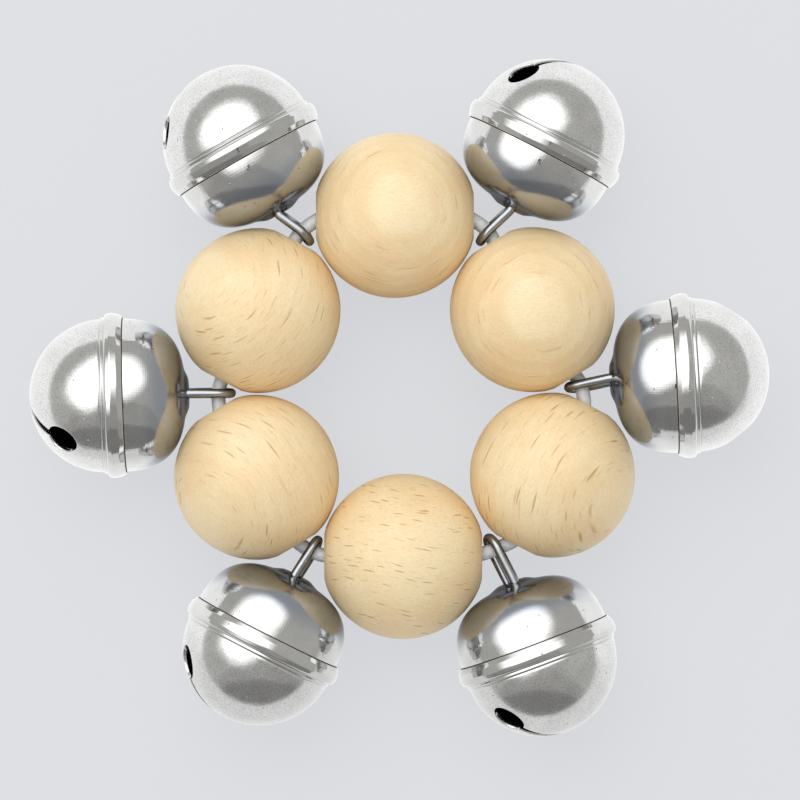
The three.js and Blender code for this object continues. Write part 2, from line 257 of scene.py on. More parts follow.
class ShapeGraph(Graph):
    """A Geometry Nodes tree whose inputs are given by name and kind. The last is its finish."""

    def __init__(self, name, **kinds):
        super().__init__(bpy.data.node_groups.new(name, "GeometryNodeTree"))
        new_socket = self.tree.interface.new_socket
        new_socket("Shape", in_out="OUTPUT", socket_type="NodeSocketGeometry")
        self.names = {}
        for label, kind in {**kinds, "Finish": "Material"}.items():
            item = new_socket(label, in_out="INPUT", socket_type=f"NodeSocket{kind}")
            self.names[label] = item.identifier
        inlet = self.tree.nodes.new("NodeGroupInput")
        self.inputs = [Value(self, inlet.outputs[label]) for label in self.names]

    def finish(self, shape):
        """Ends the tree: shaded smooth but for its real edges, realised, and given its finish."""
        angle = self.node("GeometryNodeInputMeshEdgeAngle")
        soft = self.math("LESS_THAN", angle, SHARP_EDGE)
        edges = {0: shape, "Shade Smooth": soft}
        smooth = self.node("GeometryNodeSetShadeSmooth", {"domain": "EDGE"}, edges)
        real = self.node("GeometryNodeRealizeInstances", None, {0: smooth})
        last = self.node("GeometryNodeSetMaterial", None, {0: real, "Material": self.inputs[-1]})
        outlet = self.tree.nodes.new("NodeGroupOutput")
        self.tree.links.new(last.socket, outlet.inputs[0])
        return self


# %% [markdown]
# ## From a tree to a plain piece
#
# A Geometry Nodes modifier is only a recipe. Each piece is taken from it as a plain mesh, with
# its place in its vertices and its object at the origin, and then rides on its CAD body in
# place of the faceted solid.

# %% Finished pieces
def new_object(name, data):
    """An object in the scene that holds this mesh, lamp or camera."""
    made = bpy.data.objects.new(name, data)
    bpy.context.scene.collection.objects.link(made)
    return made


def new_mesh(name, points, edges=(), faces=()):
    mesh = bpy.data.meshes.new(name)
    mesh.from_pydata(points, edges, faces)
    return mesh


# %% The plain mesh of a tree
def face_outwards(mesh):
    """Turns the faces of a closed mesh round if they point inwards."""
    shape = bmesh.new()
    shape.from_mesh(mesh)
    if shape.calc_volume(signed=True) < 0:
        mesh.flip_normals()
    shape.free()


def made_by(shape_graph, name, **values):
    """The plain mesh that a tree makes from these named inputs."""
    holder = new_object(name, bpy.data.meshes.new(name))
    modifier = holder.modifiers.new("shape", "NODES")
    modifier.node_group = shape_graph.tree
    for label, value in values.items():
        modifier[shape_graph.names[label]] = value
    evaluated = holder.evaluated_get(bpy.context.evaluated_depsgraph_get())
    mesh = bpy.data.meshes.new_from_object(evaluated)
    bpy.data.objects.remove(holder)
    mesh.name = name
    face_outwards(mesh)
    return mesh


def stand_in(mesh, node, matrix=None):
    """A piece with this mesh that is shown in place of a CAD node, on the same body."""
    if matrix is not None:
        mesh.transform(matrix)
    piece = new_object(f"fine_{node}", mesh)
    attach(piece, frame["nodes"][node]["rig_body"])
    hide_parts(node)
    return piece


def drawn(name, points, closed=False):
    """A helper object that holds a line through these points, for a tree to read."""
    count = len(points)
    edges = [(index, index + 1) for index in range(count - 1)]
    if closed:
        edges.append((count - 1, 0))
    return new_object(name, new_mesh(name, [tuple(point) for point in points], edges))


# %% [markdown]
# ## Profiles with rounded corners
#
# A lathe or a press leaves no perfectly sharp edge, and polished metal shows its shape mostly
# by what its rounded edges reflect. So a profile is listed as corners, each with the radius of
# its rounding. An arc replaces each corner. One more point just outside both ends of the arc
# keeps the smooth shading of the long faces flat.

# %% Rounded profiles
ARC_STEP = math.radians(12)
GUARD = 0.04


def directions(angles):
    return np.column_stack([np.cos(angles), np.sin(angles)])


def rounded(corners):
    """Points [radius, height] from corners (radius, height, rounding), ends left as they are."""
    places = [np.array(corner[:2], float) for corner in corners]
    points = places[:1]
    for before, here, after, (_, _, radius) in zip(places, places[1:], places[2:], corners[1:]):
        if radius == 0:
            points.append(here)
            continue
        back, ahead = before - here, after - here
        back_length, ahead_length = np.linalg.norm(back), np.linalg.norm(ahead)
        back, ahead = back / back_length, ahead / ahead_length
        turn = math.pi - math.acos(np.clip(back @ ahead, -1, 1))
        reach = radius * math.tan(turn / 2)
        inward = (back + ahead) / np.linalg.norm(back + ahead)
        centre = here + inward * radius / math.cos(turn / 2)
        start, end = here + back * reach, here + ahead * reach
        if reach + GUARD < back_length / 2:
            points.append(start + back * GUARD)
        steps = max(2, math.ceil(turn / ARC_STEP))
        for step in range(steps + 1):
            share = step / steps
            near, far = math.sin((1 - share) * turn), math.sin(share * turn)
            offset = start * near + end * far - centre * (near + far)
            points.append(centre + offset / math.sin(turn))
        if reach + GUARD < ahead_length / 2:
            points.append(end + ahead * GUARD)
    return [*points, places[-1]]


# %% [markdown]
# ## Turning on a lathe
#
# Beads and shells are all turned shapes, so one tree makes them: a flat grid has as many rows
# as the profile has points and as many columns as the lathe has steps. Each grid point looks up
# its profile point by row and is swung round the axis by column. A Screw modifier could do it
# too, but a tree keeps the number of steps and the holes that are drilled afterwards together.

# %% The lathe tree
def lathe_tree():
    graph = ShapeGraph("lathe", Profile="Object", Steps="Int", Drills="Object")
    profile, steps, drills, _ = graph.inputs
    line = graph.node("GeometryNodeObjectInfo", None, {"Object": profile}, output="Geometry")
    count = graph.node("GeometryNodeAttributeDomainSize", {"component": "MESH"}, {0: line})
    grid = graph.node(
        "GeometryNodeMeshGrid",
        None,
        {"Size X": 1.0, "Size Y": 1.0, "Vertices X": steps + 1, "Vertices Y": count},
        output="Mesh",
    )
    position = graph.node("GeometryNodeInputPosition")
    across, along, _ = graph.parts(position)
    row = graph.math("ROUND", (along + 0.5) * (count - 1))
    spot = graph.node(
        "GeometryNodeSampleIndex",
        {"data_type": "FLOAT_VECTOR"},
        {"Geometry": line, "Value": position, "Index": row},
    )
    radius, _, height = graph.parts(spot)
    angle = (across + 0.5) * math.tau
    swung = graph.node(
        "ShaderNodeCombineXYZ",
        None,
        {0: radius * graph.math("COSINE", angle), 1: radius * graph.math("SINE", angle), 2: height},
    )
    skin = graph.node("GeometryNodeSetPosition", None, {"Geometry": grid, "Position": swung})
    closed = graph.node("GeometryNodeMergeByDistance", None, {"Geometry": skin, "Distance": 1e-7})
    cutters = graph.node("GeometryNodeObjectInfo", None, {"Object": drills}, output="Geometry")
    drilled = graph.node(
        "GeometryNodeMeshBoolean",
        {"operation": "DIFFERENCE", "solver": "EXACT"},
        {"Mesh 1": closed, "Mesh 2": cutters},
    )
    any_drills = graph.node("GeometryNodeAttributeDomainSize", {"component": "MESH"}, {0: cutters})
    chosen = graph.node(
        "GeometryNodeSwitch",
        {"input_type": "GEOMETRY"},
        {"Switch": graph.math("GREATER_THAN", any_drills, 0), "False": closed, "True": drilled},
    )
    return graph.finish(chosen)


lathe = lathe_tree()


def turned(name, profile, **values):
    """A mesh turned from a profile in mm, as [radius, height] at each of its points."""
    line = drawn(f"{name} profile", [(radius * MM, 0, height * MM) for radius, height in profile])
    mesh = made_by(lathe, name, Profile=line, **values)
    bpy.data.objects.remove(line)
    return mesh


# %% [markdown]
# ## Round stock along a path
#
# The cord and the wire loops are one kind of thing: round stock that follows a path. The tree
# turns a line into a curve and sweeps a circle along it. A number on each point of the line
# says how thick the stock is there, which is how the cord gets the lumps of its knot.

# %% The sweep tree
def sweep_tree():
    graph = ShapeGraph("round stock", Path="Object", Radius="Float", Sides="Int")
    path, radius, sides, _ = graph.inputs
    line = graph.node("GeometryNodeObjectInfo", None, {"Object": path}, output="Geometry")
    curve = graph.node("GeometryNodeMeshToCurve", None, {"Mesh": line})
    swelling = graph.node(
        "GeometryNodeInputNamedAttribute", {"data_type": "FLOAT"}, {"Name": "swelling"}
    )
    swollen = graph.node("GeometryNodeSetCurveRadius", None, {"Curve": curve, "Radius": swelling})
    circle = graph.node(
        "GeometryNodeCurvePrimitiveCircle", None, {"Resolution": sides, "Radius": radius}
    )
    stock = graph.node(
        "GeometryNodeCurveToMesh",
        None,
        {"Curve": swollen, "Profile Curve": circle, "Fill Caps": True},
    )
    return graph.finish(stock)


round_stock = sweep_tree()


def swept(name, points, radius, sides, finish, closed=False, swelling=None):
    """A mesh of round stock along points in metres. Swelling scales the radius at each point."""
    path = drawn(f"{name} path", points, closed)
    values = np.ones(len(points)) if swelling is None else np.array(swelling)
    path.data.attributes.new("swelling", "FLOAT", "POINT").data.foreach_set("value", values)
    mesh = made_by(round_stock, name, Path=path, Radius=radius, Sides=sides, Finish=finish)
    bpy.data.objects.remove(path)
    return mesh


# %% [markdown]
# ## Finishes
#
# Each finish is a small tree on one Principled shader. What changes over the surface is worked
# out from Object coordinates in millimetres, so that every grain and scratch has its real size.

# %% A finish that is being built
class Finish(Graph):
    """The tree of a material with one Principled shader, which has these fixed values."""

    def __init__(self, name, **fixed):
        self.material = bpy.data.materials.new(name)
        self.material.use_nodes = True
        super().__init__(self.material.node_tree)
        self.shader = self.tree.nodes["Principled BSDF"]
        for label, value in fixed.items():
            self.shader.inputs[label.replace("_", " ")].default_value = value

    def feed(self, colour, dull, relief, strength=1.0):
        """Links what changes over the surface to the shader, relief in mm. Gives the material."""
        hills = {"Strength": strength, "Distance": MM, "Height": relief}
        bump = self.node("ShaderNodeBump", None, hills)
        for label, value in (("Base Color", colour), ("Roughness", dull), ("Normal", bump)):
            self.tree.links.new(value.socket, self.shader.inputs[label])
        return self.material


def millimetres(graph, centre=(0, 0, 0), turn=(0, 0, 0)):
    """Object coordinates in mm about a centre, on turned axes."""
    scale = (MM, MM, MM)
    return graph.mapped(graph.coordinates(), "TEXTURE", Location=centre, Rotation=turn, Scale=scale)


# %% Patterns for finishes
def noise(graph, vector, scale, detail=2.0, roughness=0.5, output=0):
    sockets = {"Vector": vector, "Scale": scale, "Detail": detail, "Roughness": roughness}
    return graph.node("ShaderNodeTexNoise", None, sockets, output)


def cells(graph, vector, scale):
    """The distance to the nearest of many scattered points, one in each cell."""
    return graph.node("ShaderNodeTexVoronoi", {"feature": "F1"}, {"Vector": vector, "Scale": scale})


def wander(graph, vector, scale, size, shift):
    """Three noises at each place, times size, plus shift."""
    drift = noise(graph, vector, scale, output="Color")
    return graph.vector_math("MULTIPLY_ADD", drift, (size,) * 3, shift)


# %% [markdown]
# ### Nickel on stamped steel
#
# The shells are polished before they are plated, so they mirror the room. The slit dome is a
# little duller and finely speckled, the loop dome is nearly a mirror. Both have the faint
# ripples that a press leaves, a few pits, and hairline scratches from knocking together.
# Towards the wire the loop dome is duller, and its colour there is painted darker and cooler as
# shade.
# How far up its bell a point lies comes from an attribute of the mesh, "height" in mm. The
# belt and the wire are plated with the rest and only differ in how dull and dark they are.

# %% The plated finish
# Painted shade: between these heights in mm the colour turns darker and cooler towards the wire
SHADE_TINT_START = 3.2
SHADE_TINT_END = 6.2
NEAR_WIRE_DULLNESS = 1.3
SPECK_COLOUR = (0.33, 0.33, 0.335, 1)
PIT_COLOUR = (0.16, 0.16, 0.16, 1)


def plated_finish(name, roughness, speckle, ripple, tint, shade_tint=None):
    """The last is the tint of the painted shade near the wire, for a mesh that has heights."""
    graph = Finish(name, Metallic=1.0)
    place = millimetres(graph)
    cloud = noise(graph, place, 0.35, 3.0)
    grain = noise(graph, place, 4.5, 2.0, 0.75)
    pit = 1 - graph.step(cells(graph, place, 0.55), 0.035, 0.07)
    wavering = wander(graph, place, 0.6, 1.5, place)
    lines = graph.node(
        "ShaderNodeTexWave",
        {"wave_type": "BANDS", "bands_direction": "DIAGONAL"},
        {"Vector": wavering, "Scale": 0.9, "Distortion": 6.0, "Detail": 2.0},
        output="Fac",
    )
    scratch = graph.step(lines, 0.99, 1.0)
    speck = graph.step(grain, 0.42, 0.7) * (speckle * 5)
    shade = graph.step(cloud, 0.3, 0.75)
    dark = [channel * 0.9 for channel in tint]
    colour = graph.mix(shade, (*dark, 1), (*tint, 1))
    if shade_tint:
        height = graph.node("ShaderNodeAttribute", {"attribute_name": "height"}, output="Fac")
        # Painted shade towards the wire: a darker, cooler colour, and a duller surface as well
        shade_and_dullness = graph.step(height, SHADE_TINT_START, SHADE_TINT_END)
        colour = graph.mix(shade_and_dullness, colour, (*shade_tint, 1))
        cloud = cloud + shade_and_dullness * NEAR_WIRE_DULLNESS
    colour = graph.mix(speck, colour, SPECK_COLOUR)
    colour = graph.mix(pit * 0.5, colour, PIT_COLOUR)
    dull = cloud * 0.06 + grain * speckle + scratch * 0.03 + pit * 0.3 + (roughness - 0.03)
    relief = cloud * ripple + grain * (speckle * 0.03) - pit * 0.05 - scratch * 0.001
    return graph.feed(colour, dull, relief)


slit_dome_finish = plated_finish("plated slit dome", 0.13, 0.095, 0.05, (0.76, 0.76, 0.755))
belt_finish = plated_finish("plated belt", 0.07, 0.03, 0.03, (0.68, 0.68, 0.675))
# The loop dome's last tint is painted shade, darker and cooler towards the wire
loop_dome_finish = plated_finish(
    "plated loop dome", 0.07, 0.03, 0.03, (0.68, 0.68, 0.675), (0.41, 0.44, 0.495)
)
wire_finish = plated_finish("plated wire", 0.15, 0.06, 0.03, (0.4, 0.425, 0.47))

# %% [markdown]
# ### Inside the bells
#
# Nobody polishes the inside of a bell. It is bare steel, dark with scale, and next to no light
# gets in, so the slits look black. Its colour is made nearly black, the scale with painted shade
# on top. The same finish paints a thin band at each seam dark, as the seam's shade.

# %% The bare finishes
def bare_steel(name, dark, light, roughness):
    graph = Finish(name, Metallic=0.8)
    place = millimetres(graph)
    scale = noise(graph, place, 1.6, 4.0, 0.65)
    fine = noise(graph, place, 12.0, 2.0)
    colour = graph.mix(graph.step(scale, 0.35, 0.65), (*dark, 1), (*light, 1))
    return graph.feed(colour, scale * 0.25 + roughness, scale * 0.06 + fine * 0.01)


# Nearly black: dark scale, with painted shade on top, so that the slits look black
inside_and_seam_shade_finish = bare_steel("bare inside", (0.012, 0.012, 0.012), (0.04, 0.038, 0.036), 0.55)
pellet_finish = bare_steel("steel pellet", (0.16, 0.16, 0.165), (0.34, 0.34, 0.35), 0.3)

# %% [markdown]
# ### Elastic cord
#
# The cord is pale grey elastic with a thin woven cover. Its fine ribs run round it, so they
# would need a map that follows the cord. At the scale of the bracelet only a slight unevenness
# shows, and that can come from noise.

# %% The cord's finish
def cord_finish():
    graph = Finish("elastic cord", IOR=1.45)
    place = millimetres(graph)
    cloud = noise(graph, place, 1.2, 3.0)
    weave = cells(graph, place, 4.5)
    colour = graph.mix(cloud, (0.72, 0.73, 0.75, 1), (0.88, 0.89, 0.91, 1))
    return graph.feed(colour, weave * 0.2 + 0.28, weave * 0.05 + cloud * 0.05, 0.8)


elastic_finish = cord_finish()

# %% [markdown]
# ### Beech
#
# Beech is pale and even. What marks it are its rays: thin plates of denser wood. Where a turned
# ball cuts through them they show as short brown strokes, and because every plate lies square
# to the same direction, the strokes run in arcs round the point where that direction comes out
# of the ball. So the rays are made in the solid wood, as flat discs square to one direction,
# the pole of the bead. Right at the pole, where the surface runs along them, they are left out.
# Each bead was cut from another place, so each has its own pole, and its strokes are longer or
# shorter. The faint yearly rings lie square to the same pole.

# %% The rays
RAY_THICKNESS = 0.15
RAY_HALF_SIZE = 0.42
RAY_DEPTH_SPACING = 3.0


def rays(graph, place, spacing, shift):
    """How much of a ray is at each place: 1 in its middle, 0 outside it."""
    moved = graph.mapped(place, "POINT", Location=shift, Scale=[1 / size for size in spacing])
    cell = cells(graph, moved, 1.0)
    nearest = graph.other_output(cell, "Position")
    across, along, deep = graph.parts(graph.vector_math("SUBTRACT", moved, nearest))
    chance, length, _ = graph.parts(graph.other_output(cell, "Color"))
    length = (length * 0.5 + 0.6) * RAY_HALF_SIZE
    far = (across / RAY_THICKNESS) ** 2 + (along / length) ** 2 + (deep / RAY_HALF_SIZE) ** 2
    return (1 - graph.step(far, 0.1, 1.0)) * graph.step(chance, 0.1, 0.6)


# %% The wood's finish
RING_SPACING = 1.7
BEECH_PALE = (0.89, 0.74, 0.465, 1)
BEECH_WARM = (0.85, 0.65, 0.37, 1)
BEECH_LATE = (0.76, 0.5, 0.25, 1)
BEECH_FIBRE = (0.7, 0.45, 0.22, 1)
BEECH_RAY = (0.46, 0.235, 0.075, 1)


def beech_finish(number, pole, stroke, apart, flecked, ringed):
    graph = Finish(f"beech bead {number}", IOR=1.46)
    centre, _ = place_and_axis(f"bead_{number}_spin")
    poleward = Vector(pole).normalized()
    helper = UP if abs(poleward.z) < 0.95 else Vector((0, 1, 0))
    sideways = poleward.cross(helper).normalized()
    wood_axes = Matrix((poleward, sideways, poleward.cross(sideways))).transposed()
    place = millimetres(graph, centre, wood_axes.to_euler())
    own_shift = (number * 17.0, number * 5.0, 30.0 - number)
    wood = graph.vector_math("ADD", place, wander(graph, place, 0.12, 1.4, own_shift))
    across, _, _ = graph.parts(wood)
    spacing = (apart, stroke / (2 * RAY_HALF_SIZE), RAY_DEPTH_SPACING)
    _, along, deep = graph.parts(place)
    off_pole = graph.step(along ** 2 + deep ** 2, 7.0, 26.0)
    strong = rays(graph, wood, spacing, (0, 0, 0)) * off_pole
    weak = rays(graph, wood, [size * 0.55 for size in spacing], (7.3, 2.1, 4.9)) * off_pole
    ring = graph.math("FRACT", across / RING_SPACING)
    ring = graph.step(ring, 0.0, 0.75) * (1 - graph.step(ring, 0.75, 1.0))
    fibre = noise(graph, graph.mapped(wood, "POINT", Scale=(6.5, 0.8, 6.5)), 1.0, 4.0, 0.7)
    cloud = noise(graph, place, 0.16, 3.0)
    pore = noise(graph, place, 4.5, 2.0, 0.7)
    light = graph.mix(graph.step(cloud, 0.3, 0.7), BEECH_WARM, BEECH_PALE)
    colour = graph.mix(ring * (0.22 * ringed), light, BEECH_LATE)
    colour = graph.mix(graph.step(fibre, 0.42, 0.72) * 0.34, colour, BEECH_FIBRE)
    colour = graph.mix(graph.step(pore, 0.45, 0.75) * 0.3, colour, BEECH_FIBRE)
    colour = graph.mix(weak * (0.3 * flecked), colour, BEECH_RAY)
    colour = graph.mix(strong * (0.72 * flecked), colour, BEECH_RAY)
    dull = fibre * 0.16 + strong * 0.1 + 0.4
    return graph.feed(colour, dull, fibre * 0.03 - strong * 0.02, 0.6)


# %% Where each bead was cut from the wood
# The pole of each bead's rays, the length of a stroke and the distance between strokes in mm,
# and how strong the strokes and the rings are
BEECH = {
    1: ((-0.6, 0.42, 0.68), 3.2, 0.8, 0.85, 0.5),
    2: ((0.05, 0.12, 0.99), 4.0, 1.0, 0.45, 0.9),
    3: ((0.02, 0.0, 1.0), 4.0, 0.9, 0.35, 1.0),
    4: ((0.78, -0.35, 0.52), 4.6, 1.0, 0.95, 0.5),
    5: ((0.156, 0.988, 0.0), 2.1, 0.62, 1.0, 0.1),
    6: ((-0.62, -0.5, 0.6), 4.0, 0.9, 0.8, 0.6),
}

# %% [markdown]
# ## The beads
#
# A bead is turned as a ball, faced off where the bore comes out and drilled through. Its edges
# are only broken with sandpaper. It never was a perfect ball, and the flat faces are what its
# neighbours and the wire loops run against.

# %% Six turned beads
BEAD_STEPS = 144
BEAD_ARC_STEPS = 44


def bead_profile():
    edge = math.asin(BEAD_HALF_LENGTH / BEAD_RADIUS)
    rounding = BEAD_EDGE_ROUNDING / BEAD_RADIUS
    face = BEAD_RADIUS * math.cos(edge)
    upper = rounded([
        (BORE_RADIUS, 0, 0),
        (BORE_RADIUS, BEAD_HALF_LENGTH, BORE_EDGE_ROUNDING),
        (face - 0.25, BEAD_HALF_LENGTH, 0.25),
        (face + 0.3, BEAD_HALF_LENGTH - 0.13, 0.0),
    ])
    angles = np.linspace(edge - rounding, -edge + rounding, BEAD_ARC_STEPS)
    lower = [point * (1, -1) for point in reversed(upper)]
    return [*upper[:-1], *BEAD_RADIUS * directions(angles), *lower[1:-1], upper[0]]


for number in NUMBERS:
    finish = beech_finish(number, *BEECH[number])
    mesh = turned(f"bead {number}", bead_profile(), Steps=BEAD_STEPS, Finish=finish)
    stand_in(mesh, f"wood_bead_{number}", bead_matrix(number))
print("bead triangles:", 2 * len(mesh.polygons))

# %% [markdown]
# ## The loop domes
#
# The shell on the loop side is drawn flatter than a ball. A superellipse follows it well: its
# exponent alone says how full the dome is. At its top a low boss rises where the two legs of
# the wire come through, and at its foot a flange is caught inside the belt.

# %% The loop dome's profile
SHELL_STEPS = 192
DOME_STEPS = 48
DRILL_SIDES = 32
FLANGE_WIDTH = 0.32
FLANGE_THICKNESS = 0.45
FLANGE_ROUNDING = 0.08
FOOT_HEIGHT = 1.0
# How far above the belt the upper shell is painted dark as shade at the seam, in mm
SEAM_SHADE_HEIGHT = 0.11


def boss_rise(radius):
    """How far the boss lifts the dome: flat in the middle, then a smooth slope down."""
    share = np.clip((radius - BOSS_RADIUS * 0.5) / (BOSS_RADIUS * 0.62), 0, 1)
    return BOSS_HEIGHT * (0.5 + 0.5 * math.cos(math.pi * share))


def dome_points(radius, height, steps):
    """The dome from its pole down to its foot, [radius, height]."""
    points = []
    for step in range(steps + 1):
        angle = step / steps * math.pi / 2
        out = radius * math.sin(angle) ** (2 / LOOP_DOME_FULLNESS)
        up = height * math.cos(angle) ** (2 / LOOP_DOME_FULLNESS)
        points.append(np.array((out, up + boss_rise(out))))
    return points


def upper_profile():
    within = SHELL_RADIUS - SHEET
    outside = dome_points(SHELL_RADIUS, LOOP_DOME_HEIGHT, DOME_STEPS)
    inside = dome_points(within, LOOP_DOME_HEIGHT - SHEET, DOME_STEPS // 2)
    foot = rounded([
        (SHELL_RADIUS, FOOT_HEIGHT, 0),
        (SHELL_RADIUS, FLANGE_THICKNESS, FLANGE_ROUNDING),
        (SHELL_RADIUS + FLANGE_WIDTH, FLANGE_THICKNESS, FLANGE_ROUNDING),
        (SHELL_RADIUS + FLANGE_WIDTH, 0, FLANGE_ROUNDING),
        (within, 0, FLANGE_ROUNDING),
        (within, FOOT_HEIGHT, 0),
    ])
    # A ring at the top of the band that is painted dark as shade at the seam
    above_seam = BELT_TOP + SEAM_SHADE_HEIGHT
    wide = (1 - (above_seam / LOOP_DOME_HEIGHT) ** LOOP_DOME_FULLNESS) ** (1 / LOOP_DOME_FULLNESS)
    outside.append(np.array((SHELL_RADIUS * wide, above_seam)))
    outside = [point for point in outside if point[1] > FOOT_HEIGHT]
    outside.sort(key=lambda point: -point[1])
    inside = [point for point in inside if point[1] > FOOT_HEIGHT]
    outside[0][0] = inside[0][0] = 0
    return [*outside, *foot, *reversed(inside)]


# %% Holes for the legs of the wire
def leg_side(number):
    """The direction in which the two legs of a bell's wire lie apart, on the bell's own axes."""
    roll = math.radians(LOOP_ROLLS[number - 1])
    return Vector((-math.sin(roll), math.cos(roll), 0))


def leg_drills(number):
    """Two drills, one for each leg of the wire, as one helper object."""
    low, high = LOOP_DOME_HEIGHT - 3 * SHEET, LOOP_DOME_HEIGHT + 3 * BOSS_HEIGHT
    radius = (WIRE_RADIUS + LEG_HOLE_CLEARANCE) * MM
    points, faces = [], []
    for side in (-1, 1):
        foot = leg_side(number) * side * LOOP_RADIUS
        ends = [(foot + Vector((0, 0, height))) * MM for height in (low, high)]
        drill = swept("drill", ends, radius, DRILL_SIDES, inside_and_seam_shade_finish)
        base = len(points)
        points += [vertex.co.copy() for vertex in drill.vertices]
        faces += [[base + corner for corner in polygon.vertices] for polygon in drill.polygons]
    return new_object("drills", new_mesh("drills", points, faces=faces))


# %% Six upper shells
def give_inside_and_seam_shade(mesh):
    """Faces looking in or hidden in the belt go dark; a thin band above it is painted seam shade.
    """
    mesh.materials.append(inside_and_seam_shade_finish)
    for polygon in mesh.polygons:
        centre = polygon.center / MM
        looks_in = (centre - UP * SLIT_DOME_CENTRE).dot(polygon.normal) < 0
        within = centre.to_2d().length < SHELL_RADIUS - 0.7 * SHEET
        # Below the band's top: faces hidden in the belt, and a visible band painted as seam shade
        if centre.z < BELT_TOP + SEAM_SHADE_HEIGHT or looks_in and within:
            polygon.material_index = len(mesh.materials) - 1


for number in NUMBERS:
    drills = leg_drills(number)
    name = f"bell_{number}_upper_shell"
    mesh = turned(name, upper_profile(), Steps=SHELL_STEPS, Drills=drills, Finish=loop_dome_finish)
    bpy.data.objects.remove(drills)
    give_inside_and_seam_shade(mesh)
    heights = [vertex.co.z / MM for vertex in mesh.vertices]
    mesh.attributes.new("height", "FLOAT", "POINT").data.foreach_set("value", heights)
    stand_in(mesh, name, bell_matrix(number))
print("upper shell faces:", len(mesh.polygons))

# %% [markdown]
# ## The slit domes
#
# The other shell is a ball with a slit across it that ends in two round holes, and its rim is
# rolled over the flange of the first shell as the belt. A boolean would cut the slit, but it
# would leave slivers that show in a mirror. So the whole shell is woven as one net of rings
# instead: the first ring is the outline of the slit, the last one on the ball is the round
# neck, and every ring between them is a blend of the two. The belt, the inside and the cut edge
# go on with the same number of points.

# %% The outline of the slit
OUTLINE_QUARTER = 64
HOLE_POINTS = 42
CORNER_POINTS = 8


def outline_quarter():
    """Points and outward directions from the far end of one hole to the middle of the slit."""
    centre = SHELL_RADIUS * SLIT_HOLE_ANGLE
    reach = SLIT_HOLE_RADIUS + SLIT_CORNER_ROUNDING
    rise = SLIT_HALF_WIDTH + SLIT_CORNER_ROUNDING
    corner = np.array((centre - math.sqrt(reach ** 2 - rise ** 2), rise))
    meeting = math.atan2(rise, corner[0] - centre)
    straight = OUTLINE_QUARTER - HOLE_POINTS - CORNER_POINTS
    hole = directions(np.linspace(0, meeting, HOLE_POINTS, endpoint=False))
    turn = directions(np.linspace(meeting - math.pi, -math.pi / 2, CORNER_POINTS, endpoint=False))
    side = np.linspace(corner, (0, SLIT_HALF_WIDTH), straight, endpoint=False) * (1, 0)
    points = [
        (centre, 0) + SLIT_HOLE_RADIUS * hole,
        corner + SLIT_CORNER_ROUNDING * turn,
        side + (0, SLIT_HALF_WIDTH),
    ]
    ways = [hole, -turn, np.tile((0.0, 1.0), (straight, 1))]
    return np.vstack(points), np.vstack(ways)


def mirrored(quarter, middle):
    """A quarter, listed on round the other three quarters. Middle is its far end."""
    half = np.vstack([quarter, [middle], quarter[1:][::-1] * (-1, 1)])
    return np.vstack([half, -half])


quarter_points, quarter_ways = outline_quarter()
outline = mirrored(quarter_points, (0, SLIT_HALF_WIDTH))
outline_ways = mirrored(quarter_ways, (0, 1))
RING_POINTS = len(outline)
print("points in a ring:", RING_POINTS)

# %% [markdown]
# The outline is drawn flat and laid on the ball by arcs: how far a point is from the pole on
# paper is how far it lies from the pole along the skin. So the round holes stay nearly round.
# The first rings lie close together, which keeps the rounded cut edge crisp.

# %% Rings of the slit dome
BALL_RINGS = 40
FIRST_SHARES = (0, 0.004, 0.014)
NECK_ANGLE = math.radians(86.2)
EDGE_ANGLES = np.radians((30, 60, 90))
SPOKES = directions(np.arange(RING_POINTS) / RING_POINTS * math.tau)


def on_ball(flat, depth):
    """Places on the ball, this deep under its skin. Flat holds arcs from the pole, in mm."""
    arc = np.linalg.norm(flat, axis=1)
    angle = arc / SHELL_RADIUS
    way = flat / np.maximum(arc, 1e-9)[:, None]
    radius = SHELL_RADIUS - depth
    side = way * (radius * np.sin(angle))[:, None]
    height = SLIT_DOME_CENTRE - radius * np.cos(angle)
    return np.column_stack([side, height])


def ball_rings(first_offset, depth):
    """Rings from the outline of the slit, widened by first_offset, out to the neck."""
    neck = SHELL_RADIUS * NECK_ANGLE * SPOKES
    start = outline + outline_ways * first_offset
    shares = [*FIRST_SHARES[:-1], *np.linspace(FIRST_SHARES[-1], 1, BALL_RINGS)]
    return [on_ball(start * (1 - share) + neck * share, depth) for share in shares]


def edge_rings():
    """Rings over the cut edge, from the inside of the shell to its outside."""
    inner, outer = [], []
    for angle in EDGE_ANGLES:
        flat = outline + outline_ways * CUT_EDGE_ROUNDING * (1 - math.sin(angle))
        drop = CUT_EDGE_ROUNDING * (1 - math.cos(angle))
        inner.append(on_ball(flat, SHEET - drop))
        outer.append(on_ball(flat, drop))
    return [*inner, *reversed(outer)]


def round_rings(profile):
    """Rings of a turned profile."""
    return [np.column_stack([SPOKES * r, np.full(RING_POINTS, h)]) for r, h in profile]


# %% [markdown]
# The belt is one rolled edge. Seen from the slit it starts with a fine ridge, drops into a
# groove, swells to its full width and leans in again towards the seam, where it closes on the
# other shell but for a hair.

